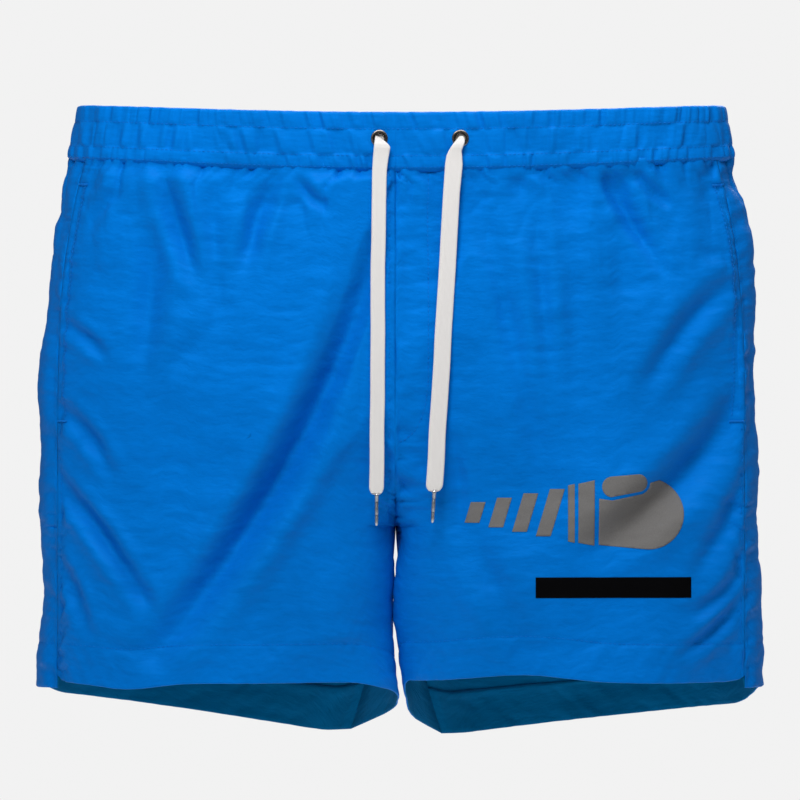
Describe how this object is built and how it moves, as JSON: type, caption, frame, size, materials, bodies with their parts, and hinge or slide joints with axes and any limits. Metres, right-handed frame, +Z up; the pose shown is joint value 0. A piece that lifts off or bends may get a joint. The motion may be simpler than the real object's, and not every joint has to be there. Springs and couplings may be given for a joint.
{
  "type": "boxing shorts",
  "caption": "Pull-on boxing shorts in blue nylon with a gathered elastic waist, a flat white drawcord through metal eyelets, side pockets and a printed leg.",
  "frame": {"origin": "middle of the waist opening, level with the top edge of the waistband at the sides", "axes": "+Z up out of the waist, +X towards the wearer's left side, -Y towards the front"},
  "size_m": [0.496, 0.112, 0.4265],
  "materials": {
    "shell_cloth": "matte crinkled nylon",
    "pocket_lining": "matte",
    "elastic": "matte knitted",
    "braid": "matte braided",
    "thread": "matte spun",
    "eyelet_metal": "antique gunmetal",
    "cord_tip": "satin",
    "grey_print": "matte transfer film",
    "black_print": "matte transfer film"
  },
  "bodies": {
    "shorts": {"front_panel_left": "shell_cloth", "front_panel_right": "shell_cloth", "back_panel_left": "shell_cloth", "back_panel_right": "shell_cloth", "waistband_casing_left": "shell_cloth", "waistband_casing_right": "shell_cloth", "waistband_elastic": "elastic", "eyelet_left": "eyelet_metal", "eyelet_right": "eyelet_metal", "eyelet_washer_left": "eyelet_metal", "eyelet_washer_right": "eyelet_metal", "drawcord_channel_run": "braid", "fly_facing": "shell_cloth", "pocket_bag_left": "pocket_lining", "pocket_bag_right": "pocket_lining", "pocket_facing_left": "shell_cloth", "pocket_facing_right": "shell_cloth", "pocket_welt_left": "shell_cloth", "pocket_welt_right": "shell_cloth", "pocket_bartacks": "thread", "hem_vent_bartacks": "thread", "waistband_topstitch": "thread", "centre_topstitch": "thread", "side_seam_topstitch": "thread", "hem_topstitch": "thread", "glove_print": "grey_print", "bar_print": "black_print"},
    "cord_lead_left": {"drawcord_lead_left": "braid"},
    "cord_lead_right": {"drawcord_lead_right": "braid"},
    "cord_tail_left": {"drawcord_tail_left": "braid", "aglet_left": "cord_tip"},
    "cord_tail_right": {"drawcord_tail_right": "braid", "aglet_right": "cord_tip"}
  },
  "joints": [
    {"name": "left_cord_lift", "type": "hinge", "parent": "shorts", "child": "cord_lead_left", "pos_m": [0.04, -0.0504, -0.024], "axis": [-1, 0, 0], "range_deg": [0, 75]},
    {"name": "left_cord_pull", "type": "slide", "parent": "cord_lead_left", "child": "cord_tail_left", "axis": [-0.0612, 0, -0.9981], "range_m": [0, 0.04]},
    {"name": "right_cord_lift", "type": "hinge", "parent": "shorts", "child": "cord_lead_right", "pos_m": [-0.015, -0.0504, -0.024], "axis": [-1, 0, 0], "range_deg": [0, 75]},
    {"name": "right_cord_pull", "type": "slide", "parent": "cord_lead_right", "child": "cord_tail_right", "axis": [-0.0048, 0, -1], "range_m": [0, 0.04]}
  ]
}
